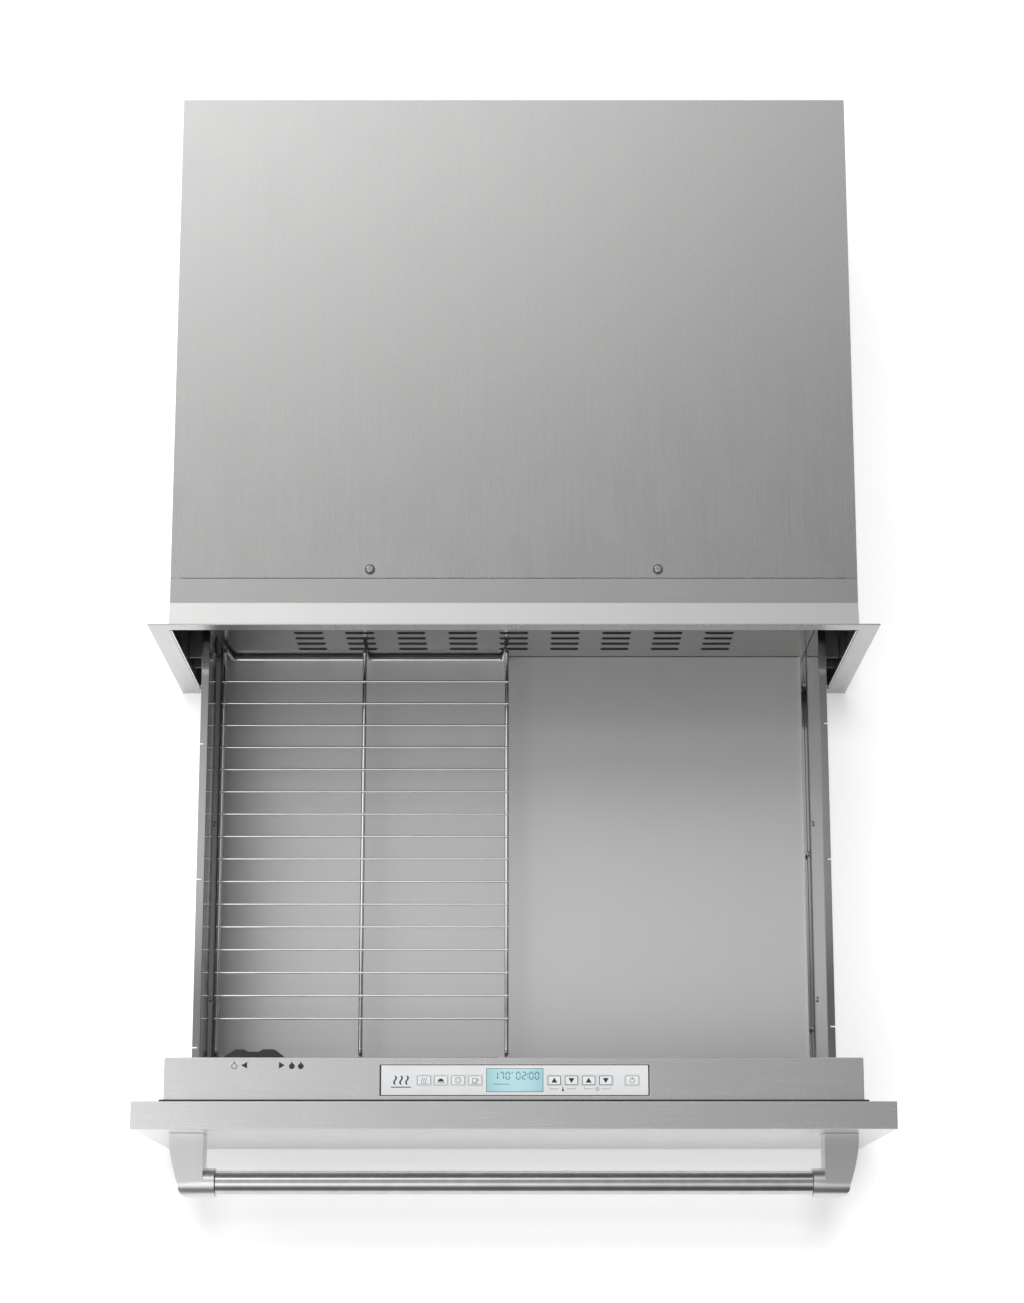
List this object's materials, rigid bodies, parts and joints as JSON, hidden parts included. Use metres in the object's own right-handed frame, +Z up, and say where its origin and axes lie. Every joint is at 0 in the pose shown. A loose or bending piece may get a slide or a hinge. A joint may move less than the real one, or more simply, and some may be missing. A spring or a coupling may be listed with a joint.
{
  "type": "warming drawer",
  "caption": "Built-in stainless steel warming drawer, pulled open, with a bar handle, top-edge controls, a moisture slider and a lift-out wire rack.",
  "frame": {"origin": "middle of the base pan's underside", "axes": "+X to the right seen from the front, +Y to the rear, +Z up"},
  "size_m": [0.762, 1.189, 0.262],
  "materials": {
    "body_sheet": "fine brushed sheet",
    "stainless": "brushed",
    "polished_steel": "bright, lightly brushed",
    "chrome": "mirror",
    "zinc_plate": "zinc plated",
    "aluminium_sheet": "rolled",
    "heater_tube": "heat-tinted tube",
    "mineral_wool": "fibrous",
    "black_plastic": "satin",
    "circuit_board": "solder mask",
    "terminal_ceramic": "glazed",
    "seal_rubber": "matte",
    "silver_overlay": "printed film",
    "key_cap": "printed film",
    "display_glass": "clear window over a backlit display"
  },
  "bodies": {
    "cabinet": {"base_pan": "body_sheet", "cord_gland": "black_plastic", "cover_screw_left": "zinc_plate", "cover_screw_right": "zinc_plate", "element_bracket_front": "zinc_plate", "element_bracket_rear": "zinc_plate", "front_collar": "stainless", "front_frame": "stainless", "heat_reflector": "aluminium_sheet", "heating_element": "heater_tube", "insulation_pad": "mineral_wool", "left_side_panel": "body_sheet", "power_board": "circuit_board", "rear_baffle": "body_sheet", "rear_panel": "body_sheet", "right_side_panel": "body_sheet", "slide_bracket_left": "body_sheet", "slide_bracket_right": "body_sheet", "slide_outer_left": "zinc_plate", "slide_outer_right": "zinc_plate", "temperature_sensor": "stainless", "terminal_block": "terminal_ceramic", "thermal_cutout": "black_plastic", "top_cover": "body_sheet"},
    "drawer": {"drawer_floor": "polished_steel", "drawer_side_left": "polished_steel", "drawer_side_right": "polished_steel", "drawer_back": "polished_steel", "drawer_inner_front": "polished_steel", "front_skin": "stainless", "front_backing": "body_sheet", "front_insulation": "mineral_wool", "front_seal": "seal_rubber", "control_housing": "stainless", "fascia_plate": "silver_overlay", "display_window": "display_glass", "display_module": "black_plastic", "control_board": "circuit_board", "handle_bar": "stainless", "handle_bracket_left": "stainless", "handle_bracket_right": "stainless", "slide_inner_left": "zinc_plate", "slide_inner_right": "zinc_plate"},
    "runner_left": {"runner_left": "zinc_plate"},
    "runner_right": {"runner_right": "zinc_plate"},
    "vent_slider": {"vent_slider": "black_plastic"},
    "rack": {"rack_grid": "chrome", "rack_legs_rear": "chrome", "rack_legs_front": "chrome"},
    "key_program_1": {"key_program_1": "key_cap"},
    "key_program_2": {"key_program_2": "key_cap"},
    "key_program_3": {"key_program_3": "key_cap"},
    "key_program_4": {"key_program_4": "key_cap"},
    "key_temperature_up": {"key_temperature_up": "key_cap"},
    "key_temperature_down": {"key_temperature_down": "key_cap"},
    "key_timer_up": {"key_timer_up": "key_cap"},
    "key_timer_down": {"key_timer_down": "key_cap"},
    "key_power": {"key_power": "key_cap"}
  },
  "joints": [
    {"name": "drawer_slide", "type": "slide", "parent": "cabinet", "child": "drawer", "axis": [0, 1, 0], "range_m": [0, 0.488]},
    {"name": "runner_left_slide", "type": "slide", "parent": "cabinet", "child": "runner_left", "axis": [0, 1, 0], "range_m": [0, 0.244]},
    {"name": "runner_right_slide", "type": "slide", "parent": "cabinet", "child": "runner_right", "axis": [0, 1, 0], "range_m": [0, 0.244]},
    {"name": "vent_slide", "type": "slide", "parent": "drawer", "child": "vent_slider", "axis": [1, 0, 0], "range_m": [0, 0.02]},
    {"name": "rack_lift", "type": "slide", "parent": "drawer", "child": "rack", "axis": [0, 0, 1], "range_m": [0, 0.128]},
    {"name": "key_program_1_press", "type": "slide", "parent": "drawer", "child": "key_program_1", "axis": [0, 0, -1], "range_m": [0, 0.0006], "stiffness_N_per_m": 400},
    {"name": "key_program_2_press", "type": "slide", "parent": "drawer", "child": "key_program_2", "axis": [0, 0, -1], "range_m": [0, 0.0006], "stiffness_N_per_m": 400},
    {"name": "key_program_3_press", "type": "slide", "parent": "drawer", "child": "key_program_3", "axis": [0, 0, -1], "range_m": [0, 0.0006], "stiffness_N_per_m": 400},
    {"name": "key_program_4_press", "type": "slide", "parent": "drawer", "child": "key_program_4", "axis": [0, 0, -1], "range_m": [0, 0.0006], "stiffness_N_per_m": 400},
    {"name": "key_temperature_up_press", "type": "slide", "parent": "drawer", "child": "key_temperature_up", "axis": [0, 0, -1], "range_m": [0, 0.0006], "stiffness_N_per_m": 400},
    {"name": "key_temperature_down_press", "type": "slide", "parent": "drawer", "child": "key_temperature_down", "axis": [0, 0, -1], "range_m": [0, 0.0006], "stiffness_N_per_m": 400},
    {"name": "key_timer_up_press", "type": "slide", "parent": "drawer", "child": "key_timer_up", "axis": [0, 0, -1], "range_m": [0, 0.0006], "stiffness_N_per_m": 400},
    {"name": "key_timer_down_press", "type": "slide", "parent": "drawer", "child": "key_timer_down", "axis": [0, 0, -1], "range_m": [0, 0.0006], "stiffness_N_per_m": 400},
    {"name": "key_power_press", "type": "slide", "parent": "drawer", "child": "key_power", "axis": [0, 0, -1], "range_m": [0, 0.0006], "stiffness_N_per_m": 400}
  ],
  "couplings": [
    {"joint": "runner_left_slide", "follows": "drawer_slide", "ratio": 0.5},
    {"joint": "runner_right_slide", "follows": "drawer_slide", "ratio": 0.5}
  ]
}
